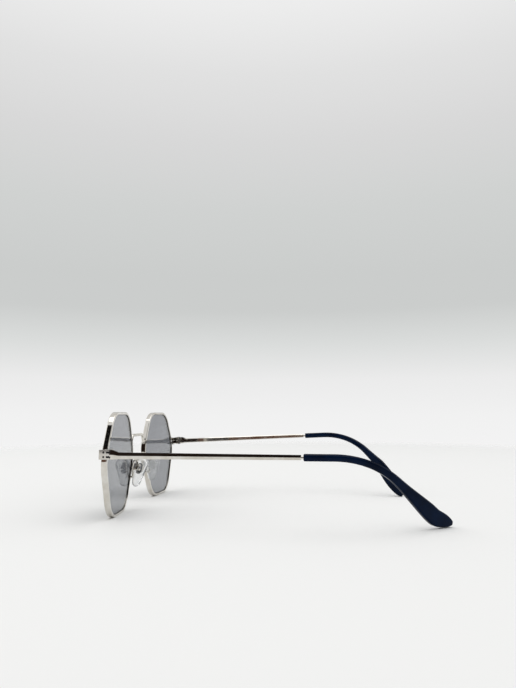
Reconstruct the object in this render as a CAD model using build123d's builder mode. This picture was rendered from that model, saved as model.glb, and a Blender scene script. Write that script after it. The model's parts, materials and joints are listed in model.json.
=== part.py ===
from build123d import *
import os
from math import atan2, cos, radians, sin

# Hexagonal metal spectacles with flat sun lenses, standing open on their rims and temple tips.
# Lengths are in millimetres and angles in degrees.
# X runs to the wearer's left, Y from the lenses back to the temple tips, and Z up.
# The left half is drawn first. The right half is its mirror image, twisted a little against it, and
# its temple hangs a little folded and is bent further down, as on a pair that has been worn.

# Lens: a hexagon with soft corners, ground flat, with a ridge round its edge.
corner_width = 48.5
lens_height = 43.4
widest_height = 24.5
top_edge = 25.1
bottom_edge = 24.8
corner_radius = 10.8
side_corner_radius = 12.4
lens_thickness = 1.8
ridge_reach = 0.45
ridge_width = 1.2
ridge_angle = 32.0
lens_play = 0.03

# Rim: a band round the lens, sawn through at the temple side so that the lens can go in.
rim_thickness = 1.1
rim_depth = 2.5
rim_round = 0.35
saw_cut = 0.3

# Front: both rims wrap a little round the face, and the right half leans further than the left.
bridge_width = 22.0
wrap_angle = 4.1
tilt_angle = -0.4
twist_angle = 2.6

# Bridge: a saddle of round wire between the upper inner shoulders of the rims.
bridge_wire = 1.5
saddle_width = 16.8
saddle_rise = 8.6
saddle_forward = 1.6
saddle_bend = 3.6
foot_inset = 1.6
foot_rise = 1.8

# Closing blocks: two halves that pull the sawn rim shut with a small screw.
block_rise = 2.85
block_height = 3.9
block_depth = 1.8
block_setback = 1.35
block_round = 0.3
block_play = 0.05
rim_screw_out = 1.6
rim_screw_diameter = 0.9
rim_screw_head = 1.5
rim_screw_head_height = 0.35
screw_play = 0.03
slot_width = 0.3
slot_depth = 0.18

# End piece: a plate that carries the hinge, with a cross bar between four sunk windows.
hinge_out = 4.75
hinge_back = 3.85
splay_angle = 3.2
rest_fold_angle = 7.5
plate_thickness = 1.2
plate_height = 3.9
plate_front = 3.9
plate_back = 0.6
plate_round = 0.25
window_height = 0.8
window_spacing = 1.8
window_depth = 0.45
front_window_length = 0.75
rear_window_length = 1.75
cross_bar = 0.7
cross_bar_front = 1.15

# Hinge: two barrels on the front, one on the temple, and a slotted screw down the middle.
hinge_height = 4.0
barrel_diameter = 2.5
barrel_offset = 1.3
middle_barrel = 1.4
barrel_play = 0.05
turning_gap = 0.1
leaf_thickness = 0.95
leaf_height = 2.6
front_leaf_length = 0.25
temple_leaf_length = 3.6
leaf_tail_share = 0.5
hinge_screw_diameter = 1.15
hinge_screw_head = 1.9
hinge_screw_head_height = 0.5
hinge_screw_sink = 0.35
hinge_screw_end = 0.2

# Temple: a flat head, then a slim bar with a ridge along its outer side, then a round core.
butt_gap = 0.04
head_height = 3.7
head_thickness = 1.2
head_length = 1.3
shoulder_length = 2.6
shoulder_height = 2.62
shoulder_thickness = 1.4
bar_drop = 0.35
bar_length = 72.7
bar_end_height = 1.95
bar_end_thickness = 1.35
neck_length = 0.8
core_diameter = 1.3
core_short = 9.0

# Bar section, as shares of its thickness and height: a flat inner side and a ridged outer one.
inner_flat_share = 0.36
inner_edge_share = 0.2
outer_edge_share = 0.62

# Temple tip: a moulded sleeve on the core that bends down behind the ear to a paddle.
# Each bend gives the run back and the fall down behind the ear, and then those of the tip.
straight_length = 26.8
left_bend = (24.1, 23.3, 7.2, 2.3)
right_bend = (16.1, 17.2, 10.4, 16.2)
inward_share = 0.7
ear_radius = 30.0
tip_radius = 8.0
core_play = 0.05
sleeve_height = 2.85
sleeve_width = 2.5
paddle_height = 6.7
sleeve_bevel_share = 0.27

# Sleeve stations: place along the sleeve, swell to the paddle's height, and width.
# The tables are for the straight part, the bent part and the rounded end.
straight_shares = (
    (0.00, 0.00, 0.92),
    (0.12, 0.00, 1.00),
    (0.22, 0.00, 1.00),
)
bent_shares = (
    (0.22, 0.00, 1.00),
    (0.25, 0.00, 1.00),
    (0.32, 0.01, 1.01),
    (0.40, 0.02, 1.02),
    (0.48, 0.04, 1.04),
    (0.56, 0.11, 1.06),
    (0.64, 0.27, 1.08),
    (0.72, 0.55, 1.10),
    (0.80, 0.84, 1.10),
    (0.88, 0.98, 1.08),
    (0.95, 1.00, 1.02),
)
end_shares = (
    (0.950, 1.00, 1.02),
    (0.965, 0.92, 0.98),
    (0.978, 0.72, 0.90),
    (0.990, 0.36, 0.78),
    (0.997, -0.04, 0.64),
    (1.000, -0.36, 0.50),
)

# Nose pad: a clear teardrop moulded round a metal core, held by a screw in a small box.
pad_inset = 1.0
pad_back = 2.4
pad_rise = -6.7
pad_lean_angle = 22.0
pad_splay_angle = 19.0
pad_length = 14.5
pad_above_share = 0.38
pad_top_radius = 4.2
pad_bottom_radius = 2.5
pad_thickness = 2.1
pad_round = 0.85
pad_gap = 1.15
core_plate_length = 5.4
core_plate_width = 3.2
core_plate_thickness = 0.5
lug_width = 1.2
lug_radius = 0.95
lug_neck_share = 0.8
lug_play = 0.08
box_height = 3.0
box_width = 3.1
box_round = 0.4
box_wall = 0.45
box_end_wall = 0.35
box_gap = 0.2
cheek_reach = 0.65
pad_screw_diameter = 0.9
pad_screw_head = 1.5
pad_screw_head_height = 0.4

# Pad arm: a thin wire that rises from the rim and hooks over to the box.
arm_wire = 0.95
arm_bend = 1.0
arm_foot_set = 1.1
arm_foot_fall = 11.3
arm_foot_back = 0.9
arm_hook_height = 2.0
arm_hook_reach = 3.9
arm_knee_fall = 0.9
arm_knee_reach = 2.9
arm_knee_front = 0.7

# One overrun serves all cuts that pass right through.
overrun = 1.0

# Rounding the hexagon's side corners takes a little off its width.
lens_top = lens_height - widest_height
upper_lean = atan2((corner_width - top_edge) / 2, lens_top)
lower_lean = atan2((corner_width - bottom_edge) / 2, widest_height)
corner_reach = cos((upper_lean - lower_lean) / 2) / cos((upper_lean + lower_lean) / 2)
lens_width = corner_width - 2 * side_corner_radius * (corner_reach - 1)
rim_side = lens_width / 2 + rim_thickness

wrap = radians(wrap_angle)
tilt = radians(tilt_angle)
splay = radians(splay_angle)
lean = radians(pad_lean_angle)
pad_splay = radians(pad_splay_angle)

# Eye plane: x to the temple side, y up from the lens's widest line, z to the front.
left_eye = Plane(
    origin=((bridge_width + lens_width) / 2, 0, 0),
    x_dir=(cos(wrap), sin(wrap), 0),
    z_dir=(sin(wrap) * cos(tilt), -cos(wrap) * cos(tilt), -sin(tilt)),
)

# Closing plane, through the saw cut: x outward from the rim, y back, z up the rim screw.
left_closing = Plane(
    origin=left_eye.from_local_coords((rim_side, block_rise, 0)),
    x_dir=left_eye.x_dir,
    z_dir=left_eye.y_dir,
)

# Hinge plane: x outward, y back along the open temple, z up the hinge screw.
left_hinge = Plane(
    origin=left_closing.from_local_coords((hinge_out, hinge_back, 0)),
    x_dir=(cos(splay), -sin(splay), 0),
    z_dir=(0, 0, 1),
)

# Seam plane: the faces where the hinge leaves are brazed to the end piece and the temple.
# Its x runs back, its y up and its z outward.
left_seam = Plane(
    origin=left_hinge.from_local_coords((barrel_offset, 0, 0)),
    x_dir=left_hinge.y_dir,
    z_dir=left_hinge.x_dir,
)

# Pad plane, through the pad screw: x along the screw to the front, y up the pad, z to the nose.
left_pad_plane = Plane(
    origin=(bridge_width / 2 + pad_inset, pad_back, pad_rise),
    x_dir=(-sin(pad_splay), -cos(pad_splay), 0),
    z_dir=(-cos(lean) * cos(pad_splay), cos(lean) * sin(pad_splay), -sin(lean)),
)

# The same place seen along the pad screw.
left_pad_side = Plane(
    origin=left_pad_plane.origin,
    x_dir=left_pad_plane.z_dir,
    z_dir=left_pad_plane.x_dir,
)

with BuildSketch() as lens_shape:
    with BuildLine():
        Polyline(
            (corner_width / 2, 0),
            (top_edge / 2, lens_top),
            (-top_edge / 2, lens_top),
            (-corner_width / 2, 0),
            (-bottom_edge / 2, -widest_height),
            (bottom_edge / 2, -widest_height),
            close=True,
        )
    make_face()
    fillet(lens_shape.vertices().group_by(Axis.Y)[1], radius=side_corner_radius)
    for end in (0, -1):
        fillet(lens_shape.vertices().group_by(Axis.Y)[end], radius=corner_radius)


def lens_body(growth):
    # The lens, larger all round by growth: none for its seat, a negative one for the lens.
    with BuildPart() as body:
        with BuildSketch(left_eye):
            offset(lens_shape.sketch, amount=growth)
        extrude(amount=lens_thickness / 2 + growth, both=True)
        with BuildSketch(left_eye):
            offset(lens_shape.sketch, amount=ridge_reach + growth)
        extrude(amount=ridge_width / 2 + growth, both=True, taper=ridge_angle)
    return body.part


lens_seat = lens_body(0)
with BuildPart() as rim_block:
    with BuildSketch(left_eye):
        offset(lens_shape.sketch, amount=rim_thickness)
    extrude(amount=rim_depth / 2, both=True)

# Lens
with BuildPart() as left_lens:
    add(lens_body(-lens_play))

# Rim
with BuildPart() as left_rim:
    add(rim_block.part)
    fillet(left_rim.edges(), radius=rim_round)
    with BuildSketch(left_eye):
        add(lens_shape.sketch)
    extrude(amount=rim_depth, both=True, mode=Mode.SUBTRACT)
    add(lens_seat, mode=Mode.SUBTRACT)
    with BuildSketch(left_closing):
        Rectangle(2 * (rim_thickness + ridge_reach + overrun), 2 * rim_depth)
    extrude(amount=saw_cut / 2, both=True, mode=Mode.SUBTRACT)


def closing_block(side, play):
    # One half of the closing block: side is 1 above the saw cut and -1 below it.
    with BuildPart() as block:
        with BuildSketch(left_closing.offset(side * saw_cut / 2)):
            with Locations((-rim_thickness, block_setback - rim_depth / 2)):
                Rectangle(rim_thickness + hinge_out + overrun, block_depth, align=Align.MIN)
        extrude(amount=side * (block_height - saw_cut) / 2)
        end_face = block.faces().sort_by(Axis.Z, reverse=side > 0)[0]
        long_edges = end_face.edges().filter_by(Axis(left_closing.origin, left_closing.x_dir))
        fillet(long_edges, radius=block_round)
        add(rim_block.part, mode=Mode.SUBTRACT)
        split(bisect_by=left_seam.offset(-play), keep=Keep.BOTTOM)
        with BuildSketch(left_closing):
            with Locations((rim_screw_out, block_setback - rim_depth / 2 + block_depth / 2)):
                Circle(rim_screw_diameter / 2 + screw_play)
        extrude(amount=block_height, both=True, mode=Mode.SUBTRACT)
    return block.part


left_upper_closing_block = closing_block(1, 0)
left_lower_closing_block = closing_block(-1, block_play)


def slotted_screw(base, shank, shank_length, head, head_height):
    # A slotted screw: the head stands on base, and the shank runs down from it.
    with BuildPart() as screw:
        with BuildSketch(base):
            Circle(head / 2)
        extrude(amount=head_height)
        with BuildSketch(base):
            Circle(shank / 2)
        extrude(amount=-shank_length)
        with BuildSketch(base.offset(head_height)):
            Rectangle(head + overrun, slot_width)
        extrude(amount=-slot_depth, mode=Mode.SUBTRACT)
    return screw.part


# Rim screw, put in from below
rim_screw_seat = Plane(
    origin=left_closing.from_local_coords(
        (rim_screw_out, block_setback - rim_depth / 2 + block_depth / 2, -block_height / 2)
    ),
    x_dir=left_closing.x_dir,
    z_dir=-left_closing.z_dir,
)
with BuildPart() as left_rim_screw:
    add(slotted_screw(
        rim_screw_seat, rim_screw_diameter, block_height - block_round,
        rim_screw_head, rim_screw_head_height,
    ))

# End piece
with BuildPart() as left_end_piece:
    with BuildSketch(left_seam):
        with Locations((plate_back, 0)):
            Rectangle(plate_front + plate_back, plate_height, align=(Align.MAX, Align.CENTER))
    extrude(amount=plate_thickness)
    outer_face = left_end_piece.faces().sort_by(Axis(left_hinge.origin, left_hinge.x_dir))[-1]
    along = Axis(left_hinge.origin, left_hinge.y_dir)
    fillet(outer_face.edges().sort_by(along)[:-1], radius=plate_round)
    with BuildSketch(left_seam.offset(plate_thickness)):
        with Locations((-cross_bar_front, 0)):
            with Locations((-cross_bar / 2, window_spacing / 2), (-cross_bar / 2, -window_spacing / 2)):
                Rectangle(front_window_length, window_height, align=(Align.MAX, Align.CENTER))
            with Locations((cross_bar / 2, window_spacing / 2), (cross_bar / 2, -window_spacing / 2)):
                Rectangle(rear_window_length, window_height, align=(Align.MIN, Align.CENTER))
    extrude(amount=-window_depth, mode=Mode.SUBTRACT)

# Front hinge: two barrels with a leaf brazed to the end piece
barrel_radius = barrel_diameter / 2
outer_barrel = (hinge_height - middle_barrel) / 2 - barrel_play
hinge_bore = hinge_screw_diameter / 2 + screw_play
with BuildPart() as left_front_hinge:
    with BuildSketch(left_hinge):
        with Locations((barrel_offset, -barrel_radius - turning_gap)):
            Rectangle(leaf_thickness, front_leaf_length, align=(Align.MAX, Align.MAX))
    extrude(amount=leaf_height / 2, both=True)
    for side in (1, -1):
        with BuildSketch(left_hinge.offset(side * hinge_height / 2)):
            Circle(barrel_radius)
            with Locations((0, -barrel_radius - turning_gap)):
                Rectangle(barrel_offset, barrel_radius + turning_gap, align=Align.MIN)
        extrude(amount=-side * outer_barrel)
    with BuildSketch(left_hinge):
        Circle(hinge_bore)
    extrude(amount=hinge_height, both=True, mode=Mode.SUBTRACT)
    with BuildSketch(left_hinge.offset(hinge_height / 2)):
        Circle(hinge_screw_head / 2 + screw_play)
    extrude(amount=-hinge_screw_sink, mode=Mode.SUBTRACT)

# Temple hinge: one barrel with a tapering leaf brazed to the temple's inner side
leaf_start = barrel_radius + 2 * turning_gap
with BuildPart() as left_temple_hinge:
    with BuildSketch(left_hinge):
        Circle(barrel_radius)
        Rectangle(barrel_offset - 2 * turning_gap, leaf_start + turning_gap, align=Align.MIN)
    extrude(amount=middle_barrel / 2, both=True)
    with BuildSketch(left_seam):
        with BuildLine():
            Polyline(
                (leaf_start, -leaf_height / 2),
                (leaf_start + temple_leaf_length, -leaf_tail_share * leaf_height / 2),
                (leaf_start + temple_leaf_length, leaf_tail_share * leaf_height / 2),
                (leaf_start, leaf_height / 2),
                close=True,
            )
        make_face()
    extrude(amount=-leaf_thickness)
    with BuildSketch(left_hinge):
        Circle(hinge_bore)
    extrude(amount=hinge_height, both=True, mode=Mode.SUBTRACT)

# Hinge screw
with BuildPart() as left_hinge_screw:
    add(slotted_screw(
        left_hinge.offset(hinge_height / 2 - hinge_screw_sink), hinge_screw_diameter,
        hinge_height - hinge_screw_sink + hinge_screw_end, hinge_screw_head, hinge_screw_head_height,
    ))

# Temple
head_start = plate_back + butt_gap
shoulder_start = head_start + head_length + shoulder_length
bar_end = shoulder_start + bar_length
bar_stations = (
    (head_start, 0, head_height, head_thickness),
    (head_start + head_length, 0, head_height, head_thickness),
    (shoulder_start, -bar_drop, shoulder_height, shoulder_thickness),
    (bar_end, -bar_drop, bar_end_height, bar_end_thickness),
)


def wire_along(path, radius):
    # Round wire along a path.
    with BuildPart() as wire:
        with BuildSketch(Plane(origin=path @ 0, z_dir=path % 0)):
            Circle(radius)
        sweep(path=path)
    return wire.part


def temple_and_tip(ear_run, ear_fall, tip_run, tip_fall):
    # A left temple with its round core, and the sleeve on that core, for one bend behind the ear.
    core_out = barrel_offset + bar_end_thickness / 2
    bar_corner = (core_out, bar_end, -bar_drop)
    ear_corner = (core_out, bar_end + straight_length, -bar_drop)
    tip_corner = (
        ear_corner[0] - inward_share * ear_run,
        ear_corner[1] + ear_run,
        ear_corner[2] - ear_fall,
    )
    tip_end = (
        tip_corner[0] - inward_share * tip_run,
        tip_corner[1] + tip_run,
        tip_corner[2] - tip_fall,
    )
    corners = [
        left_hinge.from_local_coords(corner) for corner in (bar_corner, ear_corner, tip_corner, tip_end)
    ]
    with BuildLine() as sleeve_route:
        FilletPolyline(*corners, radius=(ear_radius, tip_radius))
    route = sleeve_route.wires()[0]
    core_share = 1 - core_short / route.length
    bore_share = 1 - (core_short - overrun) / route.length
    neck_share = neck_length / route.length

    with BuildPart() as temple:
        for back, rise, height, thickness in bar_stations:
            station = Plane(
                origin=left_hinge.from_local_coords((barrel_offset, back, rise)),
                x_dir=left_hinge.x_dir,
                z_dir=-left_hinge.y_dir,
            )
            with BuildSketch(station):
                with BuildLine():
                    Polyline(
                        (0, inner_flat_share * height),
                        (inner_edge_share * thickness, height / 2),
                        (outer_edge_share * thickness, height / 2),
                        (thickness, 0),
                        (outer_edge_share * thickness, -height / 2),
                        (inner_edge_share * thickness, -height / 2),
                        (0, -inner_flat_share * height),
                        close=True,
                    )
                make_face()
        loft(ruled=True)
        add(wire_along(route.trim(0, core_share), core_diameter / 2))

    with BuildPart() as tip:
        for stations in (straight_shares, bent_shares, end_shares):
            for place, swell, width_share in stations:
                place = neck_share + (1 - neck_share) * place
                run = route % place
                station = Plane(origin=route @ place, x_dir=(run.Y, -run.X, 0), z_dir=run)
                width = width_share * sleeve_width
                height = sleeve_height + swell * (paddle_height - sleeve_height)
                with BuildSketch(station) as section:
                    Rectangle(width, height)
                    chamfer(section.vertices(), length=sleeve_bevel_share * width)
            loft(ruled=stations is not bent_shares)
        add(wire_along(route.trim(0, bore_share), core_diameter / 2 + core_play), mode=Mode.SUBTRACT)
    return temple.part, tip.part


left_temple, left_temple_tip = temple_and_tip(*left_bend)
right_temple, right_temple_tip = temple_and_tip(*right_bend)

# Pad core: an oval plate moulded into the pad, with a lug for the pad screw
core_plate_rise = pad_gap + (pad_thickness - core_plate_thickness) / 2
pad_bore = pad_screw_diameter / 2 + screw_play
with BuildPart() as left_pad_core:
    with BuildSketch(left_pad_plane.offset(core_plate_rise)):
        SlotOverall(core_plate_length, core_plate_width, rotation=90)
    extrude(amount=core_plate_thickness)
    with BuildSketch(left_pad_side):
        Circle(lug_radius)
        Rectangle(
            core_plate_rise + core_plate_thickness / 2, 2 * lug_neck_share * lug_radius,
            align=(Align.MIN, Align.CENTER),
        )
        Circle(pad_bore, mode=Mode.SUBTRACT)
    extrude(amount=lug_width / 2, both=True)

# Nose pad
pad_above = pad_above_share * pad_length
with BuildPart() as left_nose_pad:
    with BuildSketch(left_pad_plane.offset(pad_gap)):
        with Locations((0, pad_above - pad_top_radius)):
            Circle(pad_top_radius)
        with Locations((0, pad_above - pad_length + pad_bottom_radius)):
            Circle(pad_bottom_radius)
        make_hull()
    extrude(amount=pad_thickness)
    fillet(left_nose_pad.edges(), radius=pad_round)
    add(left_pad_core.part, mode=Mode.SUBTRACT)

# Pad box: open towards the nose, with a cheek on each side of the lug
box_floor = lug_radius + box_gap
with BuildPart() as box_block:
    with BuildSketch(left_pad_plane.offset(-box_floor - box_wall)):
        RectangleRounded(box_width, box_height, box_round)
    extrude(amount=box_floor + box_wall + cheek_reach)
with BuildPart() as left_pad_box:
    add(box_block.part)
    with BuildSketch(left_pad_plane.offset(-box_floor)):
        Rectangle(lug_width + 2 * lug_play, box_height - 2 * box_end_wall)
    extrude(amount=box_floor + cheek_reach, mode=Mode.SUBTRACT)
    with BuildSketch(left_pad_side):
        Circle(pad_bore)
    extrude(amount=box_width, both=True, mode=Mode.SUBTRACT)

# Pad screw, put in from the wearer's side
with BuildPart() as left_pad_screw:
    add(slotted_screw(
        Plane(
            origin=left_pad_plane.from_local_coords((-box_width / 2, 0, 0)),
            x_dir=left_pad_plane.y_dir,
            z_dir=-left_pad_plane.x_dir,
        ),
        pad_screw_diameter, box_width, pad_screw_head, pad_screw_head_height,
    ))

# Pad arm, from the lower nasal side of the rim
side_slope = (corner_width - bottom_edge) / (2 * widest_height)
arm_foot_out = corner_width / 2 - side_slope * arm_foot_fall + arm_foot_set
arm_foot = left_eye.from_local_coords((-arm_foot_out, -arm_foot_fall, 0))
arm_heel = left_eye.from_local_coords((-arm_foot_out, -arm_foot_fall, -rim_depth / 2 - arm_foot_back))
arm_top = box_height / 2 + arm_hook_height
arm_corners = [arm_foot, arm_heel] + [
    left_pad_plane.from_local_coords(corner)
    for corner in (
        (arm_knee_front, -arm_knee_fall, -arm_knee_reach),
        (0, arm_top - arm_wire, -arm_hook_reach),
        (0, arm_top, -box_floor),
        (0, 0, -box_floor),
    )
]
with BuildLine() as arm_route:
    FilletPolyline(*arm_corners, radius=arm_bend)
with BuildPart() as left_pad_arm:
    add(wire_along(arm_route.wires()[0], arm_wire / 2))
    add(rim_block.part, mode=Mode.SUBTRACT)
    add(box_block.part, mode=Mode.SUBTRACT)

# The right half is the left one's mirror image, turned about a line across the middle of the bridge.
twist_axis = Axis((0, -saddle_forward, (foot_rise + saddle_rise) / 2), (1, 0, 0))


def right_twin(piece):
    # The right piece that belongs to a left one.
    with BuildPart() as twin:
        add(mirror(piece, about=Plane.YZ, mode=Mode.PRIVATE).rotate(twist_axis, twist_angle))
    return twin.part


# Bridge
foot_out = bridge_width / 2 + foot_inset
with BuildLine() as bridge_route:
    FilletPolyline(
        (foot_out, -saddle_forward, foot_rise),
        (saddle_width / 2, -saddle_forward, saddle_rise),
        (-saddle_width / 2, -saddle_forward, saddle_rise),
        (-foot_out, -saddle_forward, foot_rise),
        radius=saddle_bend,
    )
with BuildPart() as bridge:
    add(wire_along(bridge_route.wires()[0], bridge_wire / 2))
    add(rim_block.part, mode=Mode.SUBTRACT)
    add(right_twin(rim_block.part), mode=Mode.SUBTRACT)

left_pieces = {
    "rim": left_rim.part,
    "lens": left_lens.part,
    "upper_closing_block": left_upper_closing_block,
    "lower_closing_block": left_lower_closing_block,
    "rim_screw": left_rim_screw.part,
    "end_piece": left_end_piece.part,
    "front_hinge": left_front_hinge.part,
    "hinge_screw": left_hinge_screw.part,
    "temple_hinge": left_temple_hinge.part,
    "temple": left_temple,
    "temple_tip": left_temple_tip,
    "pad_arm": left_pad_arm.part,
    "pad_box": left_pad_box.part,
    "pad_screw": left_pad_screw.part,
    "pad_core": left_pad_core.part,
    "nose_pad": left_nose_pad.part,
}
models = left_pieces | {"temple": right_temple, "temple_tip": right_temple_tip}
folded_names = ("temple_hinge", "temple", "temple_tip")

pieces = {"bridge": bridge.part}
for name, piece in left_pieces.items():
    pieces["left_" + name] = piece
for name, piece in models.items():
    if name in folded_names:
        piece = piece.rotate(Axis(left_hinge.origin, left_hinge.z_dir), rest_fold_angle)
    pieces["right_" + name] = right_twin(piece)

# The origin is put at the middle of the footprint, on the surface that the spectacles stand on.
whole = Compound(children=[Part(piece.wrapped) for piece in pieces.values()]).bounding_box()
home = Location((-(whole.min.X + whole.max.X) / 2, -(whole.min.Y + whole.max.Y) / 2, -whole.min.Z))

os.makedirs("parts", exist_ok=True)
for name, piece in pieces.items():
    placed = piece.moved(home)
    placed.label = name
    export_step(placed, "parts/" + name + ".step")
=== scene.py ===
import json
from math import cos, radians, sin, tan

import bmesh
import bpy
from mathutils import Matrix, Vector


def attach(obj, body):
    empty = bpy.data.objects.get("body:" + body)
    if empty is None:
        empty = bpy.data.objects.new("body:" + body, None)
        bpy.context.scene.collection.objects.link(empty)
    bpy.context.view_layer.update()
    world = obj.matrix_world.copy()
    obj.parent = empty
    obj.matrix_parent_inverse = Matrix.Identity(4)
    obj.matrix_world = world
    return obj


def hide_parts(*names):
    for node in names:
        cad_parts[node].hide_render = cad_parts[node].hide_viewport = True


# Hexagonal sunglasses: silver metal frame, flat grey lenses, clear pads and navy sleeves.
# Everything is in metres; mm turns a length in millimetres into metres.
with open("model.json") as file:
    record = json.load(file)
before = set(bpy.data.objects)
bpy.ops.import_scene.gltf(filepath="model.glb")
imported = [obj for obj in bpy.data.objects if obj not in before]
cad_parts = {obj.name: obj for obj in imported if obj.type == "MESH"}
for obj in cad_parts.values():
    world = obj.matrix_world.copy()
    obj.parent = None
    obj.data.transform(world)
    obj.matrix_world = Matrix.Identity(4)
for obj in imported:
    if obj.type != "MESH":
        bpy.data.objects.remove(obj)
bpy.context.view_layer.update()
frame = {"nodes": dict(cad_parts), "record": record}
mm = 0.001
nodes = frame["nodes"]
print("frame loaded,", len(nodes), "nodes")


# Colour and node helpers

def linear(hexColour):
    # sRGB hex to the linear colour that Blender works in
    channels = [int(hexColour[i:i + 2], 16) / 255 for i in (1, 3, 5)]
    return [c / 12.92 if c <= 0.04045 else ((c + 0.055) / 1.055) ** 2.4 for c in channels] + [1]


def addNode(tree, kind, settings=None, links=None):
    # one node, with its settings by attribute or socket, and the sockets that feed it
    node = tree.nodes.new(kind)
    for key, value in (settings or {}).items():
        if isinstance(key, str) and hasattr(node, key):
            setattr(node, key, value)
        else:
            node.inputs[key].default_value = value
    for key, socket in (links or {}).items():
        tree.links.new(socket, node.inputs[key])
    return node


def newMaterial(name):
    # an empty material with its principled shader wired to the output
    material = bpy.data.materials.new(name)
    material.use_nodes = True
    tree = material.node_tree
    shader = next(node for node in tree.nodes if node.type == "BSDF_PRINCIPLED")
    place = addNode(tree, "ShaderNodeTexCoord").outputs["Object"]
    return material, tree, shader, place


def setRamp(node, stops):
    # stops: position and hex colour of each point of a colour ramp
    elements = node.color_ramp.elements
    while len(elements) > 1:
        elements.remove(elements[-1])
    elements[0].position = stops[0][0]
    elements[0].color = linear(stops[0][1])
    for position, colour in stops[1:]:
        elements.new(position).color = linear(colour)


# Materials

def connect(tree, shader, colour, rough, bump=None):
    # the finished pattern, wired to the shader
    tree.links.new(colour.outputs["Color"], shader.inputs["Base Color"])
    tree.links.new(rough.outputs["Result"], shader.inputs["Roughness"])
    if bump:
        tree.links.new(bump.outputs["Normal"], shader.inputs["Normal"])


platedSilver = {
    "colours": [(0.35, "#C9C4BA"), (0.62, "#DCD9D3")],  # handled, and freshly wiped
    "roughness": (0.03, 0.08),
    "haze": (0.12, 0.42),     # strength of the pattern over which the roughness runs
    "blotches": 6.0,          # mm across one patch of handling haze
    "polishLines": 0.35,      # mm between the buffing lines
    "stretch": (1, 0.06, 1),  # the lines run from front to back
    "lineDepth": 0.0012,      # mm
}


def makePlatedSilver():
    # Nickel silver, buffed and plated: a bright mirror with faint buffing lines and a warm haze
    material, tree, shader, place = newMaterial("buffedPlatedNickelSilver")
    haze = addNode(tree, "ShaderNodeTexNoise", {
        "Scale": 1 / (platedSilver["blotches"] * mm), "Detail": 3, "Roughness": 0.6,
    }, {"Vector": place})
    colour = addNode(tree, "ShaderNodeValToRGB", None, {"Fac": haze.outputs["Fac"]})
    setRamp(colour, platedSilver["colours"])
    stretch = addNode(tree, "ShaderNodeMapping", {
        "Scale": platedSilver["stretch"],
    }, {"Vector": place})
    lines = addNode(tree, "ShaderNodeTexNoise", {
        "Scale": 1 / (platedSilver["polishLines"] * mm), "Detail": 2,
    }, {"Vector": stretch.outputs["Vector"]})
    mixed = addNode(tree, "ShaderNodeMath", {"operation": "MULTIPLY"}, {
        0: haze.outputs["Fac"], 1: lines.outputs["Fac"],
    })
    rough = addNode(tree, "ShaderNodeMapRange", {
        "From Min": platedSilver["haze"][0], "From Max": platedSilver["haze"][1],
        "To Min": platedSilver["roughness"][0], "To Max": platedSilver["roughness"][1],
    }, {"Value": mixed.outputs["Value"]})
    bump = addNode(tree, "ShaderNodeBump", {
        "Strength": 0.3, "Distance": platedSilver["lineDepth"] * mm,
    }, {"Height": lines.outputs["Fac"]})
    shader.inputs["Metallic"].default_value = 1
    connect(tree, shader, colour, rough, bump)
    return material


turnedSteel = {
    "colours": [(0.3, "#8E9093"), (0.6, "#B9BABC")],  # in a tool line, and beside it
    "roughness": (0.2, 0.38),
    "toolLines": 0.12,     # mm between the turning marks
    "lineDepth": 0.002,    # mm
}


def makeTurnedSteel():
    # Stainless steel, turned on a lathe: grey, a little dull, with fine tool marks
    material, tree, shader, place = newMaterial("turnedStainlessSteel")
    lines = addNode(tree, "ShaderNodeTexNoise", {
        "Scale": 1 / (turnedSteel["toolLines"] * mm), "Detail": 2,
    }, {"Vector": place})
    colour = addNode(tree, "ShaderNodeValToRGB", None, {"Fac": lines.outputs["Fac"]})
    setRamp(colour, turnedSteel["colours"])
    rough = addNode(tree, "ShaderNodeMapRange", {
        "To Min": turnedSteel["roughness"][0], "To Max": turnedSteel["roughness"][1],
    }, {"Value": lines.outputs["Fac"]})
    bump = addNode(tree, "ShaderNodeBump", {
        "Strength": 0.4, "Distance": turnedSteel["lineDepth"] * mm,
    }, {"Height": lines.outputs["Fac"]})
    shader.inputs["Metallic"].default_value = 1
    connect(tree, shader, colour, rough, bump)
    return material


sunLens = {
    "colours": [(0.3, "#777A80"), (0.7, "#808388")],  # under a smear, and clear of it
    "ior": 1.5,
    "roughness": (0.0, 0.03),
    "smearing": (0.45, 0.75),  # strength of the pattern over which the roughness runs
    "smears": 14.0,            # mm across one faint wiping smear
}


def makeSunLens():
    # Tinted acrylic sheet, press polished: smooth and clear, grey through its whole thickness
    material, tree, shader, place = newMaterial("polishedTintedAcrylic")
    smears = addNode(tree, "ShaderNodeTexNoise", {
        "Scale": 1 / (sunLens["smears"] * mm), "Detail": 4, "Roughness": 0.65,
    }, {"Vector": place})
    colour = addNode(tree, "ShaderNodeValToRGB", None, {"Fac": smears.outputs["Fac"]})
    setRamp(colour, sunLens["colours"])
    rough = addNode(tree, "ShaderNodeMapRange", {
        "From Min": sunLens["smearing"][0], "From Max": sunLens["smearing"][1],
        "To Min": sunLens["roughness"][0], "To Max": sunLens["roughness"][1],
    }, {"Value": smears.outputs["Fac"]})
    shader.inputs["Transmission Weight"].default_value = 1
    shader.inputs["IOR"].default_value = sunLens["ior"]
    connect(tree, shader, colour, rough)
    return material


clearPad = {
    "colours": [(0.3, "#F4F6F6"), (0.7, "#FFFFFF")],  # in a flow mark, and beside it
    "ior": 1.45,
    "roughness": (0.03, 0.12),
    "clearness": 0.88,     # share of the light that goes through
    "flow": 2.2,           # mm across one flow mark
}


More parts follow.
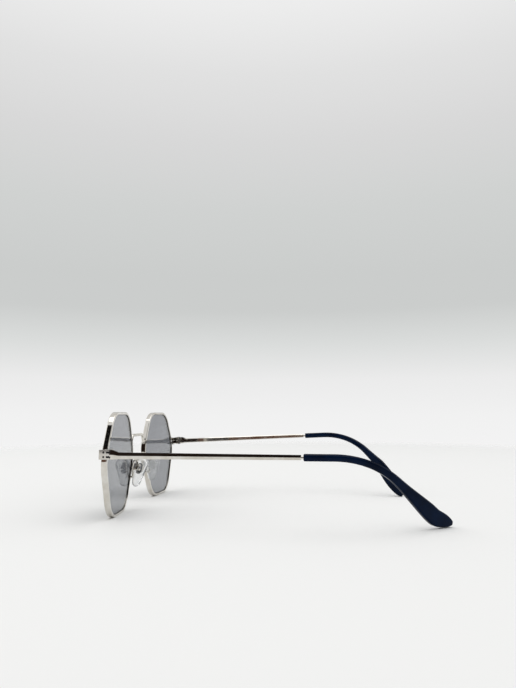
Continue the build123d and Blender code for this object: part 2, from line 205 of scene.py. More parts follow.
def makeClearPad():
    # Clear silicone, moulded: soft gloss, see-through with a very light cloud
    material, tree, shader, place = newMaterial("mouldedClearSilicone")
    flow = addNode(tree, "ShaderNodeTexNoise", {
        "Scale": 1 / (clearPad["flow"] * mm), "Detail": 2,
    }, {"Vector": place})
    colour = addNode(tree, "ShaderNodeValToRGB", None, {"Fac": flow.outputs["Fac"]})
    setRamp(colour, clearPad["colours"])
    rough = addNode(tree, "ShaderNodeMapRange", {
        "To Min": clearPad["roughness"][0], "To Max": clearPad["roughness"][1],
    }, {"Value": flow.outputs["Fac"]})
    shader.inputs["Transmission Weight"].default_value = clearPad["clearness"]
    shader.inputs["IOR"].default_value = clearPad["ior"]
    connect(tree, shader, colour, rough)
    return material


navySleeve = {
    "colours": [(0.35, "#030C1D"), (0.65, "#04152E")],
    "ior": 1.49,
    "specular": 0.06,
    "roughness": (0.05, 0.14),
    "cloud": 9.0,          # mm across one patch of uneven gloss
    "ripples": 2.25,       # mm across one ripple of the skin
    "rippleDepth": 0.004,  # mm
}


def makeNavySleeve():
    # Cellulose acetate, moulded and tumbled: deep navy, glossy, with a faintly uneven skin
    material, tree, shader, place = newMaterial("tumbledNavyAcetate")
    cloud = addNode(tree, "ShaderNodeTexNoise", {
        "Scale": 1 / (navySleeve["cloud"] * mm), "Detail": 3,
    }, {"Vector": place})
    colour = addNode(tree, "ShaderNodeValToRGB", None, {"Fac": cloud.outputs["Fac"]})
    setRamp(colour, navySleeve["colours"])
    rough = addNode(tree, "ShaderNodeMapRange", {
        "To Min": navySleeve["roughness"][0], "To Max": navySleeve["roughness"][1],
    }, {"Value": cloud.outputs["Fac"]})
    ripples = addNode(tree, "ShaderNodeTexNoise", {
        "Scale": 1 / (navySleeve["ripples"] * mm), "Detail": 1,
    }, {"Vector": place})
    bump = addNode(tree, "ShaderNodeBump", {
        "Strength": 0.2, "Distance": navySleeve["rippleDepth"] * mm,
    }, {"Height": ripples.outputs["Fac"]})
    shader.inputs["IOR"].default_value = navySleeve["ior"]
    shader.inputs["Specular IOR Level"].default_value = navySleeve["specular"]
    connect(tree, shader, colour, rough, bump)
    return material


paintedShade = {
    "colours": [(0.3, "#1A1A1C"), (0.6, "#0A0A0B")],  # in a pit, and beside it
    "ior": 1.52,
    "specular": 0.3,
    "roughness": (0.12, 0.3),
    "pits": 0.25,          # mm across one soft pit
    "pitDepth": 0.006,     # mm
}


def makePaintedShade():
    # Painted shade, near black and glossy with small soft pits: dark fills that stand in for the
    # shade and dark reflections in the end pieces' windows and along the lens edges
    material, tree, shader, place = newMaterial("firedBlackEnamel")
    pits = addNode(tree, "ShaderNodeTexNoise", {
        "Scale": 1 / (paintedShade["pits"] * mm), "Detail": 1,
    }, {"Vector": place})
    colour = addNode(tree, "ShaderNodeValToRGB", None, {"Fac": pits.outputs["Fac"]})
    setRamp(colour, paintedShade["colours"])
    rough = addNode(tree, "ShaderNodeMapRange", {
        "To Min": paintedShade["roughness"][0], "To Max": paintedShade["roughness"][1],
    }, {"Value": pits.outputs["Fac"]})
    bump = addNode(tree, "ShaderNodeBump", {
        "Strength": 0.3, "Distance": paintedShade["pitDepth"] * mm,
    }, {"Height": pits.outputs["Fac"]})
    shader.inputs["IOR"].default_value = paintedShade["ior"]
    shader.inputs["Specular IOR Level"].default_value = paintedShade["specular"]
    connect(tree, shader, colour, rough, bump)
    return material


silver = makePlatedSilver()
steel = makeTurnedSteel()
lensGrey = makeSunLens()
padClear = makeClearPad()
navy = makeNavySleeve()
# near-black painted shade, used in the end pieces' windows and along the lens edges
shadeBlack = makePaintedShade()

# by the node's name without its side
finishes = {
    "rim": silver, "bridge": silver, "temple": silver, "end_piece": silver,
    "upper_closing_block": silver, "lower_closing_block": silver,
    "front_hinge": silver, "temple_hinge": silver, "pad_arm": silver, "pad_box": silver,
    "rim_screw": steel, "hinge_screw": steel, "pad_screw": steel, "pad_core": steel,
    "lens": lensGrey, "nose_pad": padClear, "temple_tip": navy,
}
for name, node in nodes.items():
    for slot in node.material_slots:
        slot.material = finishes[name.split("_", 1)[-1]]
print("materials on", len(nodes), "nodes")


# Modelling helpers

mergeDistance = 0.0005 * mm
hair = 0.001 * mm  # a point this near a level counts as on it


def deselectAll():
    bpy.ops.object.select_all(action="DESELECT")


def makeActive(piece):
    deselectAll()
    piece.select_set(True)
    bpy.context.view_layer.objects.active = piece


def pick(piece, kind, test):
    # in edit mode, select the faces, edges or vertices whose middle and points pass the test
    mesh = bmesh.from_edit_mesh(piece.data)
    bpy.ops.mesh.select_all(action="DESELECT")
    bpy.ops.mesh.select_mode(type={"faces": "FACE", "edges": "EDGE", "verts": "VERT"}[kind])
    for part in getattr(mesh, kind):
        points = [part.co] if kind == "verts" else [vert.co for vert in part.verts]
        part.select_set(test(sum(points, Vector()) / len(points), points))
    mesh.select_flush_mode()
    bmesh.update_edit_mesh(piece.data)


def extrudeTo(offset):
    bpy.ops.mesh.extrude_region_move(TRANSFORM_OT_translate={"value": offset})


def applyModifier(piece, kind, **settings):
    makeActive(piece)
    modifier = piece.modifiers.new(kind.lower(), kind)
    for key, value in settings.items():
        setattr(modifier, key, value)
    bpy.ops.object.modifier_apply(modifier=modifier.name)


def copyOf(shape, name):
    # a new object with a mesh of its own, left as the active one
    piece = bpy.data.objects.new(name, shape.data.copy())
    bpy.context.scene.collection.objects.link(piece)
    makeActive(piece)
    return piece


def settle(shape, name, place, finish, body, sharp, replaced=()):
    # a copy of the shape, set in its place in the part and put on its body;
    # faces that meet at more than sharp degrees keep a hard edge
    piece = copyOf(shape, name)
    piece.matrix_world = place
    bpy.ops.object.transform_apply(location=True, rotation=True, scale=True)
    bpy.ops.object.mode_set(mode="EDIT")
    bpy.ops.mesh.select_all(action="SELECT")
    bpy.ops.mesh.remove_doubles(threshold=mergeDistance)
    bpy.ops.mesh.normals_make_consistent(inside=False)
    bpy.ops.object.mode_set(mode="OBJECT")
    bpy.ops.object.shade_smooth_by_angle(angle=radians(sharp))
    piece.data.materials.clear()
    piece.data.materials.append(finish)
    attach(piece, body)
    if replaced:
        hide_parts(*replaced)
    return piece


def drop(shape):
    bpy.data.objects.remove(shape, do_unlink=True)


def inMm(point):
    return Matrix.Translation(Vector(point) * mm)


def pointing(axis, spin=0):
    # turns z to the axis, after a turn of spin degrees about z
    aimed = Vector(axis).to_track_quat("Z", "Y").to_matrix().to_4x4()
    return aimed @ Matrix.Rotation(radians(spin), 4, "Z")


# Places in the pair. The right half is the left one's mirror image, twisted, with a folded temple.

pair = {
    "home": (-2.8969, -69.8266, 25.6057),  # mm, the front's own origin, midway between the lenses
    "twistPoint": (0, -1.6, 5.2),          # mm, on the axis of the twist
    "twist": 2.6,                          # degrees
    "splay": 3.2,                          # degrees, the left temple outward
    "fold": 7.5,                           # degrees, the right temple inward
}

twisted = Matrix.Rotation(radians(pair["twist"]), 4, "X")
mirrored = Matrix.Scale(-1, 4, (1, 0, 0))
splayed = Matrix.Rotation(-radians(pair["splay"]), 4, "Z")
folded = Matrix.Rotation(radians(pair["fold"]), 4, "Z")
twistPoint = inMm(pair["twistPoint"])
frontFrame = {
    "left": inMm(pair["home"]),
    "right": inMm(pair["home"]) @ twistPoint @ twisted @ twistPoint.inverted() @ mirrored,
}
hinges = {
    joint["name"].split("_")[0]: Matrix.Translation(joint["pos_m"])
    for joint in frame["record"]["behaviour"]["joints"] if joint["name"].endswith("temple_fold")
}
# end pieces and their hinges, then the temples that fold on them
endFrame = {
    "left": hinges["left"] @ splayed,
    "right": hinges["right"] @ twisted @ mirrored @ splayed,
}
templeFrame = {
    "left": endFrame["left"],
    "right": hinges["right"] @ twisted @ mirrored @ folded @ splayed,
}


# Temple sleeves

sleeve = {
    # in mm
    "start": (1.975, 78.04, -0.35),  # from the hinge: out, back and up
    "straight": 26.0,                # to the bend behind the ear
    # run and fall behind the ear, then run and fall of the tip
    "bends": {"left": (24.1, 23.85, 7.2, 2.8), "right": (16.1, 17.2, 10.4, 16.85)},
    "radii": (30.0, 8.0),            # of the two bends
    "width": 2.5, "height": 2.85, "paddle": 7.1, "bevel": 0.62,
    # as shares
    "inward": 0.7,                   # of each run, sideways
    "mouth": 0.93,                   # of the section, at the open end
    "crease": 0.8,                   # how firm the long edges stay when smoothed
    # place along the sleeve, swell to the paddle's height, share of the width
    "swells": [
        (0.008, 0.02, 1.00), (0.03, 0.00, 1.00), (0.14, 0.00, 1.00), (0.25, 0.00, 1.00),
        (0.32, 0.01, 1.01), (0.40, 0.02, 1.02), (0.48, 0.05, 1.04), (0.56, 0.14, 1.06),
        (0.64, 0.33, 1.08), (0.72, 0.62, 1.10), (0.80, 0.91, 1.10), (0.86, 0.96, 1.07),
        (0.91, 0.78, 1.03),
    ],
    # the same for the rounded end
    "end": [
        (0.94, 0.56, 0.98), (0.96, 0.36, 0.93), (0.975, 0.15, 0.87), (0.987, -0.10, 0.76),
        (0.995, -0.30, 0.62), (0.999, -0.46, 0.42),
    ],
}


def sleeveRoute(side):
    # the line that the sleeve follows, straights and arcs in turn, in metres:
    # each leg's length, start and heading, and an arc's side and radius
    run, fall, tipRun, tipFall = sleeve["bends"][side]
    sideways = sleeve["inward"]
    legs = [
        Vector((0, sleeve["straight"], 0)) * mm,
        Vector((-sideways * run, run, -fall)) * mm,
        Vector((-sideways * tipRun, tipRun, -tipFall)) * mm,
    ]
    point, cut, route = Vector(sleeve["start"]) * mm, 0, []
    for radius, before, after in zip(sleeve["radii"], legs, legs[1:]):
        angle, heading = before.angle(after), before.normalized()
        reach = radius * mm * tan(angle / 2)
        straight = before.length - cut - reach
        route.append((straight, point, heading, None, 0))
        point = point + heading * straight
        toward = (after.normalized() - heading * cos(angle)) / sin(angle)
        route.append((radius * mm * angle, point, heading, toward, radius * mm))
        point = point + heading * reach + after.normalized() * reach
        cut = reach
    route.append((legs[2].length - cut, point, legs[2].normalized(), None, 0))
    return route


def layAlong(shape, route):
    # the straight bar's points, set round the route with the bar's sides kept upright
    for vert in shape.data.vertices:
        far = vert.co.y
        for leg in route:
            if far <= leg[0] or leg is route[-1]:
                break
            far -= leg[0]
        _, point, heading, toward, radius = leg
        if toward:
            turn = far / radius
            place = point + radius * (sin(turn) * heading + (1 - cos(turn)) * toward)
            heading = cos(turn) * heading + sin(turn) * toward
        else:
            place = point + far * heading
        across = Vector((heading.y, -heading.x, 0)).normalized()
        vert.co = place + vert.co.x * across + vert.co.z * across.cross(heading)


def makeSleeve(side):
    route = sleeveRoute(side)
    length = sum(leg[0] for leg in route)
    place, swell, share = sleeve["swells"][0]
    first = place * length
    # a short bar with its four long edges cut off
    deselectAll()
    bpy.ops.mesh.primitive_cube_add(size=1, location=(0, first / 2, 0))
    shape = bpy.context.object
    shape.scale = (sleeve["width"] * mm, first, sleeve["height"] * mm)
    bpy.ops.object.transform_apply(location=True, rotation=True, scale=True)
    bpy.ops.object.mode_set(mode="EDIT")
    pick(shape, "edges", lambda middle, ends: abs(ends[0].y - ends[1].y) > first / 2)
    bpy.ops.mesh.bevel(offset=sleeve["bevel"] * mm, segments=1)
    pick(shape, "verts", lambda middle, ends: middle.y < first / 2)
    bpy.ops.transform.resize(value=(sleeve["mouth"], 1, sleeve["mouth"]), center_override=(0, 0, 0))
    # then drawn out station by station: the paddle swells by a shift of its top and its
    # underside, which keeps the bevel's size, and the end closes in all round
    rise = (sleeve["paddle"] - sleeve["height"]) * mm
    for nextPlace, nextSwell, nextShare in sleeve["swells"][1:] + sleeve["end"]:
        edge, reach = place * length, nextPlace * length
        pick(shape, "faces", lambda middle, ends: min(end.y for end in ends) > edge - hair)
        extrudeTo((0, (nextPlace - place) * length, 0))
        tall = sleeve["height"] * mm + swell * rise
        nextTall = sleeve["height"] * mm + nextSwell * rise
        ending = (nextPlace, nextSwell, nextShare) in sleeve["end"]
        bpy.ops.transform.resize(
            value=(nextShare / share, 1, nextTall / tall if ending else 1),
            center_override=(0, reach, 0),
        )
        if not ending:
            for way in (1, -1):
                pick(shape, "verts", lambda middle, ends: (
                    middle.y > reach - hair and middle.z * way > 0
                ))
                bpy.ops.transform.translate(value=(0, 0, way * (nextTall - tall) / 2))
        place, swell, share = nextPlace, nextSwell, nextShare
    pick(shape, "edges", lambda middle, ends: abs(ends[0].y - ends[1].y) > hair)
    bpy.ops.transform.edge_crease(value=sleeve["crease"])
    bpy.ops.object.mode_set(mode="OBJECT")
    applyModifier(shape, "SUBSURF", levels=2, render_levels=2)
    layAlong(shape, route)
    settle(
        shape, side + "Sleeve", templeFrame[side], navy, side + "_temple_body",
        sharp=28, replaced=[side + "_temple_tip"],
    )
    drop(shape)


for side in ("left", "right"):
    makeSleeve(side)
print("sleeves done")


# Nose pads

noseFrame = {
    "place": (12.0, 2.4, -6.7),    # mm, on the pad screw
    "lean": 22.0, "splay": 19.0,   # degrees, of the pad against the face
}
padLean, padSplay = radians(noseFrame["lean"]), radians(noseFrame["splay"])
padForward = Vector((-sin(padSplay), -cos(padSplay), 0))
padOut = Vector((-cos(padLean) * cos(padSplay), cos(padLean) * sin(padSplay), -sin(padLean)))
padTurn = Matrix((padForward, padOut.cross(padForward), padOut)).transposed().to_4x4()
padPlace = {
    side: frontFrame[side] @ inMm(noseFrame["place"]) @ padTurn for side in ("left", "right")
}

nosePad = {
    # mm, in the pad's own plane, from the pad screw
    "topRadius": 4.2, "topMiddle": 1.31,
    "bottomRadius": 2.5, "bottomMiddle": -6.49,
    "back": 1.15, "thickness": 2.1,
    "points": 40,       # round the outline
    "backInset": 0.75,  # how far the flat back stands in from the widest outline
    # share of the thickness, and how far the outline stands in there
    "rings": [(0.04, 0.40), (0.16, 0.12), (0.40, 0.0), (0.66, 0.10), (0.86, 0.46), (0.97, 1.15)],
    # inset and depth of each step of the dished face
    "dish": [(0.9, 0.10), (0.5, 0.05)],
}


def makePads():
    # a teardrop outline, then drawn up through its rings and closed with a slightly dished face
    back, top = nosePad["back"] * mm, nosePad["topMiddle"] * mm
    fall = nosePad["bottomMiddle"] - nosePad["topMiddle"]
    topRadius = nosePad["topRadius"] - nosePad["backInset"]
    bottomRadius = nosePad["bottomRadius"] - nosePad["backInset"]
    deselectAll()
    bpy.ops.mesh.primitive_circle_add(
        vertices=nosePad["points"], radius=topRadius * mm,
        location=(0, top, back), fill_type="NGON",
    )
    shape = bpy.context.object
    bpy.ops.object.transform_apply(location=True, rotation=True, scale=True)
    bpy.ops.object.mode_set(mode="EDIT")
    pick(shape, "verts", lambda middle, ends: middle.y < top - hair)
    small = bottomRadius / topRadius
    bpy.ops.transform.resize(value=(small, small, 1), center_override=(0, top, 0))
    bpy.ops.transform.translate(value=(0, fall * mm, 0))
    middleY = (nosePad["topMiddle"] + nosePad["bottomMiddle"]) / 2 * mm
    fullWidth = 2 * nosePad["topRadius"]
    fullLength = nosePad["topRadius"] + nosePad["bottomRadius"] - fall
    height, before = 0, nosePad["backInset"]
    for share, inset in nosePad["rings"]:
        pick(shape, "faces", lambda middle, ends: middle.z > back + height * mm - hair)
        extrudeTo((0, 0, (share * nosePad["thickness"] - height) * mm))
        wider = (fullWidth - 2 * inset) / (fullWidth - 2 * before)
        longer = (fullLength - 2 * inset) / (fullLength - 2 * before)
        bpy.ops.transform.resize(value=(wider, longer, 1), center_override=(0, middleY, 0))
        height, before = share * nosePad["thickness"], inset
    pick(shape, "faces", lambda middle, ends: middle.z > back + height * mm - hair)
    for inset, depth in nosePad["dish"]:
        bpy.ops.mesh.inset(thickness=inset * mm, depth=-depth * mm)
    bpy.ops.object.mode_set(mode="OBJECT")
    applyModifier(shape, "SUBSURF", levels=2, render_levels=2)
    for side in ("left", "right"):
        settle(
            shape, side + "Pad", padPlace[side], padClear, side + "_pad_body",
            sharp=60, replaced=[side + "_nose_pad"],
        )
    drop(shape)


makePads()
print("nose pads done")


# Brazed joints: small hollow cones of filler where a wire meets a rim

braze = {
    "spread": 0.34,  # mm that the filler stands out round the wire at its foot
    "points": 24,
    # wire radius, length along the wire, then the left wire's foot and a point further
    # along it, mm from the front's own origin
    "joints": {
        "BridgeFoot": (0.75, 0.85, (11.02, -1.6, 4.35), (9.4, -1.6, 6.98)),
        "ArmHeel": (0.475, 0.5, (13.64, -0.30, -11.17), (13.57, 0.70, -11.18)),
    },
    # share of the length, and share of the spread left there
    "profile": [(0.0, 1.0), (0.12, 0.62), (0.32, 0.30), (0.6, 0.10), (1.0, 0.02)],
}


def makeBraze(radius, reach):
    # rings round the wire that close in on it in a hollow curve
    deselectAll()
    bpy.ops.mesh.primitive_circle_add(
        vertices=braze["points"], radius=(radius + braze["spread"]) * mm, fill_type="NGON",
    )
    shape = bpy.context.object
    bpy.ops.object.mode_set(mode="EDIT")
    place, share = braze["profile"][0]
    for nextPlace, nextShare in braze["profile"][1:]:
        pick(shape, "faces", lambda middle, ends: middle.z > place * reach * mm - hair)
        extrudeTo((0, 0, (nextPlace - place) * reach * mm))
        wide = (radius + nextShare * braze["spread"]) / (radius + share * braze["spread"])
        bpy.ops.transform.resize(
            value=(wide, wide, 1), center_override=(0, 0, nextPlace * reach * mm),
        )
        place, share = nextPlace, nextShare
    bpy.ops.object.mode_set(mode="OBJECT")
    return shape


for name, (radius, reach, foot, upper) in braze["joints"].items():
    shape = makeBraze(radius, reach)
    along = pointing(Vector(upper) - Vector(foot))
    for side in ("left", "right"):
        settle(
            shape, side + name + "Braze", frontFrame[side] @ inMm(foot) @ along,
            silver, "front", sharp=40,
        )
    drop(shape)
print("brazed joints done")


# Screws, each a turned head with a slot and a shank with a cut thread at its end

screws = {
    # radius and height of the head, radius and length of the shank, length of the thread, mm
    "hinge": {"head": 0.95, "tall": 0.5, "shank": 0.575, "long": 3.85, "thread": 1.3},
    "pad": {"head": 0.75, "tall": 0.4, "shank": 0.45, "long": 3.1, "thread": 0.9},
    "rim": {"head": 0.75, "tall": 0.35, "shank": 0.45, "long": 3.6, "thread": 1.4},
}
screwCut = {
    # mm
    "slot": 0.3, "slotDepth": 0.2, "rounding": 0.14, "pitch": 0.25, "threadDepth": 0.055,
    "points": 40, "roundingSteps": 4,
    "cutterLength": 3,  # times the head's radius, so that the slot runs right through
}


def makeScrew(kind):
    # the head stands on z = 0 and the shank runs down
    size = screws[kind]
    deselectAll()
    bpy.ops.mesh.primitive_cylinder_add(
        vertices=screwCut["points"], radius=size["head"] * mm, depth=size["tall"] * mm,
        location=(0, 0, size["tall"] / 2 * mm),
    )
    head = bpy.context.object
    bpy.ops.object.transform_apply(location=True, rotation=True, scale=True)
    bpy.ops.object.mode_set(mode="EDIT")
    # round the top edge, then draw the shank down out of the underside
    pick(head, "edges", lambda middle, ends: min(end.z for end in ends) > size["tall"] * mm - hair)
    bpy.ops.mesh.bevel(offset=screwCut["rounding"] * mm, segments=screwCut["roundingSteps"])
    pick(head, "faces", lambda middle, ends: max(end.z for end in ends) < hair)
    bpy.ops.mesh.inset(thickness=(size["head"] - size["shank"]) * mm)
    depth = size["thread"] - size["long"]
    extrudeTo((0, 0, depth * mm))
    # the thread as rings, in to its root and out again once per pitch
    root = (size["shank"] - screwCut["threadDepth"]) / size["shank"]
    for step in range(2 * int(size["thread"] / screwCut["pitch"])):
        extrudeTo((0, 0, -screwCut["pitch"] / 2 * mm))
        depth -= screwCut["pitch"] / 2
        wide = root if step % 2 == 0 else 1 / root
        bpy.ops.transform.resize(value=(wide, wide, 1), center_override=(0, 0, depth * mm))
    bpy.ops.object.mode_set(mode="OBJECT")
    deselectAll()
    bpy.ops.mesh.primitive_cube_add(
        size=1, location=(0, 0, (size["tall"] - screwCut["slotDepth"] / 2) * mm),
    )
    cutter = bpy.context.object
    cutter.scale = (
        screwCut["cutterLength"] * size["head"] * mm,
        screwCut["slot"] * mm, screwCut["slotDepth"] * mm,
    )
    bpy.ops.object.transform_apply(location=False, rotation=False, scale=True)
    applyModifier(head, "BOOLEAN", object=cutter, operation="DIFFERENCE", solver="EXACT")
    drop(cutter)
    return head


screwSeats = {
    # each side's frame, the underside of the head there in mm, and the way that the head points
    "hinge": (endFrame, (0, 0, 1.65), (0, 0, 1)),
    "pad": (padPlace, (-1.55, 0, 0), (-1, 0, 0)),
    "rim": (frontFrame, (58.605, 2.806, 0.887), (0.0005, -0.007, -1)),
}
slotTurns = {"left": 24, "right": 71}  # degrees, as the last turn left them

for kind, (frames, seat, axis) in screwSeats.items():
    shape = makeScrew(kind)
    for side, spin in slotTurns.items():
        settle(
            shape, side + kind.capitalize() + "Screw",
            frames[side] @ inMm(seat) @ pointing(axis, spin),
            steel, "front", sharp=35, replaced=[side + "_" + kind + "_screw"],
        )
    drop(shape)
print("screws done")


# Painted shade in the four windows of each end piece: near-black fills where the recesses show
# shade and dark reflections

windowShade = {
    # mm
    "fromHinge": 1.3, "plate": 1.2,  # out to the plate's inner side, and its thickness
    "windowDepth": 0.45, "fill": 0.33,
    "centre": -1.15, "bar": 0.7,     # the cross bar's middle, back from the hinge, and its width
    "lengths": {"Front": 0.75, "Rear": 1.75}, "height": 0.8,
    "spacing": 1.8,                  # from the lower windows' middle up to the upper ones'
    # inset and depth of each step of the hollow in the middle of each fill
    "hollow": [(0.10, 0.048), (0.12, 0.032)],
}


def makeWindowShade(length):
    # a flat fill of painted shade, hollowed a little in the middle
    deselectAll()
    bpy.ops.mesh.primitive_cube_add(size=1)
    shape = bpy.context.object
    shape.scale = (windowShade["fill"] * mm, length * mm, windowShade["height"] * mm)
    bpy.ops.object.transform_apply(location=False, rotation=False, scale=True)
    bpy.ops.object.mode_set(mode="EDIT")
    pick(shape, "faces", lambda middle, ends: middle.x > windowShade["fill"] / 2 * mm - hair)
    for inset, depth in windowShade["hollow"]:
        bpy.ops.mesh.inset(thickness=inset * mm, depth=-depth * mm)
    bpy.ops.object.mode_set(mode="OBJECT")
    return shape


fillMiddle = windowShade["fromHinge"] + windowShade["plate"] - windowShade["windowDepth"] + windowShade["fill"] / 2
levels = {"Upper": windowShade["spacing"] / 2, "Lower": -windowShade["spacing"] / 2}
for end, length in windowShade["lengths"].items():
    shape = makeWindowShade(length)
    fromBar = (windowShade["bar"] + length) / 2
    back = windowShade["centre"] + (fromBar if end == "Rear" else -fromBar)
    for side in ("left", "right"):
        for level, height in levels.items():
            settle(
                shape, side + end + level + "Enamel",
                endFrame[side] @ inMm((fillMiddle, back, height)),
                shadeBlack, "front", sharp=35,
            )
    drop(shape)
print("enamel done")


# Painted shade along the edge of each lens, front and back: a thin near-black strip that stands in
# for the shade and dark reflection in the gap between lens and rim, in the same black as the window
# shade

lensEdgeShade = {
    # mm
    "width": 0.3, "height": 0.16,
    "flat": 0.05,       # a point this near the lens's lowest or highest one is on a flat side
    "flatAngle": 0.5,   # degrees, below which two faces are one
}


def makeLensEdgeShade(side):
    # from a copy of the lens: its two flat sides, cut down to a strip along the edge and thickened
    shape = copyOf(nodes[side + "_lens"], "beadShape")
    facing = max(shape.data.polygons, key=lambda face: face.area).normal.copy()
    heights = [vert.co.dot(facing) for vert in shape.data.vertices]
    lowest, highest = min(heights) + lensEdgeShade["flat"] * mm, max(heights) - lensEdgeShade["flat"] * mm
    bpy.ops.object.mode_set(mode="EDIT")
    bpy.ops.mesh.select_all(action="SELECT")
    bpy.ops.mesh.remove_doubles(threshold=mergeDistance)
    pick(shape, "faces", lambda middle, ends: any(
        lowest < end.dot(facing) < highest for end in ends
    ))
    bpy.ops.mesh.delete(type="FACE")
    bpy.ops.mesh.select_all(action="SELECT")
    bpy.ops.mesh.dissolve_limited(angle_limit=radians(lensEdgeShade["flatAngle"]))
    bpy.ops.mesh.inset(thickness=lensEdgeShade["width"] * mm)
    bpy.ops.mesh.delete(type="FACE")
    bpy.ops.object.mode_set(mode="OBJECT")
    applyModifier(shape, "SOLIDIFY", thickness=lensEdgeShade["height"] * mm, offset=0)
    # the strip is painted shade, dark where the gap between lens and rim shows shade and reflection
    settle(shape, side + "LensBead", Matrix(), shadeBlack, "front", sharp=40)
    drop(shape)


for side in ("left", "right"):
    makeLensEdgeShade(side)
print("lens beads done")


# Floor, surroundings, lamps and camera

floorSheet = {
    "size": 6.0,          # m
    "colour": "#EDEDEC",
    "roughness": 0.9,
    "specular": 0.1,
    "grain": 4.0,         # mm, coarser than paper's own so that it shows at all
    "grainDepth": 0.1,    # mm
    # the sheet gives way to the surroundings over these distances from the centre, m
    "centre": (-0.2, 0, 0), "fade": (0.36, 0.54),
}


def makeFloor():
    # Paper, pressed and uncoated: matt white with a barely visible grain, fading out far away
    deselectAll()
    bpy.ops.mesh.primitive_plane_add(size=floorSheet["size"], location=(0, 0, 0))
    floor = bpy.context.object
    floor.name = "paperFloor"
    material, tree, shader, place = newMaterial("mattWhitePaper")
    grain = addNode(tree, "ShaderNodeTexNoise", {
        "Scale": 1 / (floorSheet["grain"] * mm),
    }, {"Vector": place})
    bump = addNode(tree, "ShaderNodeBump", {
        "Strength": 0.02, "Distance": floorSheet["grainDepth"] * mm,
    }, {"Height": grain.outputs["Fac"]})
    out = addNode(tree, "ShaderNodeVectorMath", {
        "operation": "DISTANCE", 1: floorSheet["centre"],
    }, {0: place})
    solid = addNode(tree, "ShaderNodeMapRange", {
        "interpolation_type": "SMOOTHSTEP",
        "From Min": floorSheet["fade"][0], "From Max": floorSheet["fade"][1],
        "To Min": 1, "To Max": 0,
    }, {"Value": out.outputs["Value"]})
    shader.inputs["Base Color"].default_value = linear(floorSheet["colour"])
    shader.inputs["Roughness"].default_value = floorSheet["roughness"]
    shader.inputs["Specular IOR Level"].default_value = floorSheet["specular"]
    tree.links.new(solid.outputs["Result"], shader.inputs["Alpha"])
    tree.links.new(bump.outputs["Normal"], shader.inputs["Normal"])
    floor.data.materials.append(material)


surroundings = {
    # height as the sine of the elevation, and the colour there, from below the floor up to overhead
    "sky": [
        (-0.45, "#E9E9E9"), (-0.30, "#EFEFEF"), (-0.12, "#F5F5F5"), (-0.03, "#F2F2F2"),
        (0.0, "#F1F1F1"), (0.063, "#EBEBEB"), (0.124, "#DADCDB"), (0.182, "#CBCDCC"),
        (0.24, "#CBCDCC"), (0.35, "#D0D2D1"), (0.45, "#D8D8D8"), (0.54, "#E1E1E1"),
        (0.62, "#EDEDED"),
    ],
    # dark shapes that only the gloss shows, round as seen from the part: direction, cosines of
    # the soft edge's angle, heights over which the lower edge fades in, colour
    "dark": [
        ((0.811, -0.114, 0.574), (0.866, 0.892), (0.0, 0.04), "#141313"),      # above the camera
        ((0.93, -0.36, 0.10), (0.88, 0.94), (-0.064, -0.057), "#2B211D"),      # low, to its left
        ((0.985, 0.05, 0.12), (0.66, 0.76), (-0.056, -0.047), "#251C18"),      # low and wide
        ((0.965, -0.26, -0.03), (0.990, 0.996), (-0.054, -0.049), "#6A4E42"),  # small and warm
        ((0.17, 0.985, 0.12), (0.80, 0.92), (-0.10, -0.02), "#1E2024"),        # behind the tips
    ],
}
mixColours, mixResult = (6, 7), 2  # sockets that a mix node uses for colour


def makeSurroundings():
    world = bpy.data.worlds.new("paleStudio")
    bpy.context.scene.world = world
    world.use_nodes = True
    tree = world.node_tree
    tree.nodes.clear()
    direction = addNode(tree, "ShaderNodeTexCoord").outputs["Generated"]
    height = addNode(tree, "ShaderNodeSeparateXYZ", None, {"Vector": direction}).outputs["Z"]
    # the ramp runs from -1 at its left end to 1 at its right
    level = addNode(tree, "ShaderNodeMapRange", {"From Min": -1}, {"Value": height})
    sky = addNode(tree, "ShaderNodeValToRGB", None, {"Fac": level.outputs["Result"]})
    setRamp(sky, [((place + 1) / 2, colour) for place, colour in surroundings["sky"]])
    colour = sky.outputs["Color"]
    glossy = addNode(tree, "ShaderNodeLightPath").outputs["Is Glossy Ray"]
    for toward, edge, lowest, dark in surroundings["dark"]:
        facing = addNode(tree, "ShaderNodeVectorMath", {
            "operation": "DOT_PRODUCT", 1: toward,
        }, {0: direction})
        inside = addNode(tree, "ShaderNodeMapRange", {
            "interpolation_type": "SMOOTHSTEP", "From Min": edge[0], "From Max": edge[1],
        }, {"Value": facing.outputs["Value"]})
        above = addNode(tree, "ShaderNodeMapRange", {
            "interpolation_type": "SMOOTHSTEP", "From Min": lowest[0], "From Max": lowest[1],
        }, {"Value": height})
        mask = addNode(tree, "ShaderNodeMath", {"operation": "MULTIPLY"}, {
            0: inside.outputs["Result"], 1: above.outputs["Result"],
        })
        shown = addNode(tree, "ShaderNodeMath", {"operation": "MULTIPLY"}, {
            0: mask.outputs["Value"], 1: glossy,
        })
        blend = addNode(tree, "ShaderNodeMix", {
            "data_type": "RGBA", mixColours[1]: linear(dark),
        }, {"Factor": shown.outputs["Value"], mixColours[0]: colour})
        colour = blend.outputs[mixResult]
    light = addNode(tree, "ShaderNodeBackground", {"Strength": 1.0}, {"Color": colour})
    addNode(tree, "ShaderNodeOutputWorld", None, {"Surface": light.outputs["Background"]})


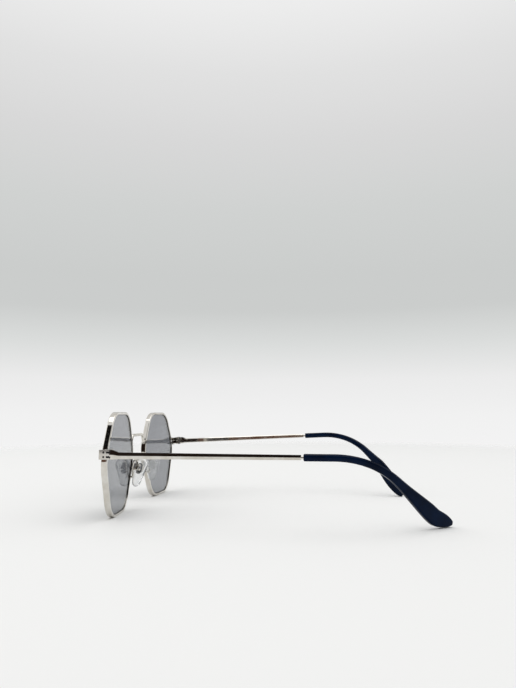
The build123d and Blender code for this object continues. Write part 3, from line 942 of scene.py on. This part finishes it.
lamps = {
    # place, aim, width and height in m, and power in W
    "overheadBox": ((-0.10, 0.05, 1.3), (0, 0, 0), 1.1, 1.1, 5.0),
    "frontBox": ((0.1, -1.1, 0.7), (0, 0, 0.02), 0.7, 0.5, 1.2),
}


def makeLamps():
    for name, (place, aim, width, height, power) in lamps.items():
        light = bpy.data.lights.new(name, "AREA")
        light.shape = "RECTANGLE"
        light.size = width
        light.size_y = height
        light.energy = power
        lamp = bpy.data.objects.new(name, light)
        bpy.context.scene.collection.objects.link(lamp)
        lamp.location = place
        lamp.rotation_euler = (Vector(aim) - Vector(place)).to_track_quat("-Z", "Y").to_euler()


cameraFit = {
    "place": (0.28547, 0.01562, 0.04400),            # m
    "yaw": 0.094, "pitch": 0.129, "roll": -0.001,    # radians, against a level look along -x
    # pixels, in an image of this height
    "imageHeight": 688, "focalLength": 567.05, "shift": (4.7, -2.1),
    "sensor": 36,                                    # mm
    "clip": (0.005, 50),                             # m
}


def makeCamera():
    yaw, pitch, roll = cameraFit["yaw"], cameraFit["pitch"], cameraFit["roll"]
    imageHeight = cameraFit["imageHeight"]
    ahead = Vector((-cos(yaw) * cos(pitch), -sin(yaw) * cos(pitch), sin(pitch)))
    right = Vector((-sin(yaw), cos(yaw), 0))
    above = right.cross(ahead)
    turned = cos(roll) * right + sin(roll) * above
    above = turned.cross(ahead)
    data = bpy.data.cameras.new("sideCamera")
    data.lens = cameraFit["focalLength"] * cameraFit["sensor"] / imageHeight
    data.sensor_width = cameraFit["sensor"]
    data.sensor_fit = "AUTO"
    data.shift_x, data.shift_y = (pixels / imageHeight for pixels in cameraFit["shift"])
    data.clip_start, data.clip_end = cameraFit["clip"]
    camera = bpy.data.objects.new("sideCamera", data)
    bpy.context.scene.collection.objects.link(camera)
    turn = Matrix((turned, above, -ahead)).transposed().to_4x4()
    camera.matrix_world = Matrix.Translation(Vector(cameraFit["place"])) @ turn
    bpy.context.scene.camera = camera


makeFloor()
makeSurroundings()
makeLamps()
makeCamera()
bpy.context.scene.view_settings.view_transform = "Standard"
print("stage, lamps and camera ready")
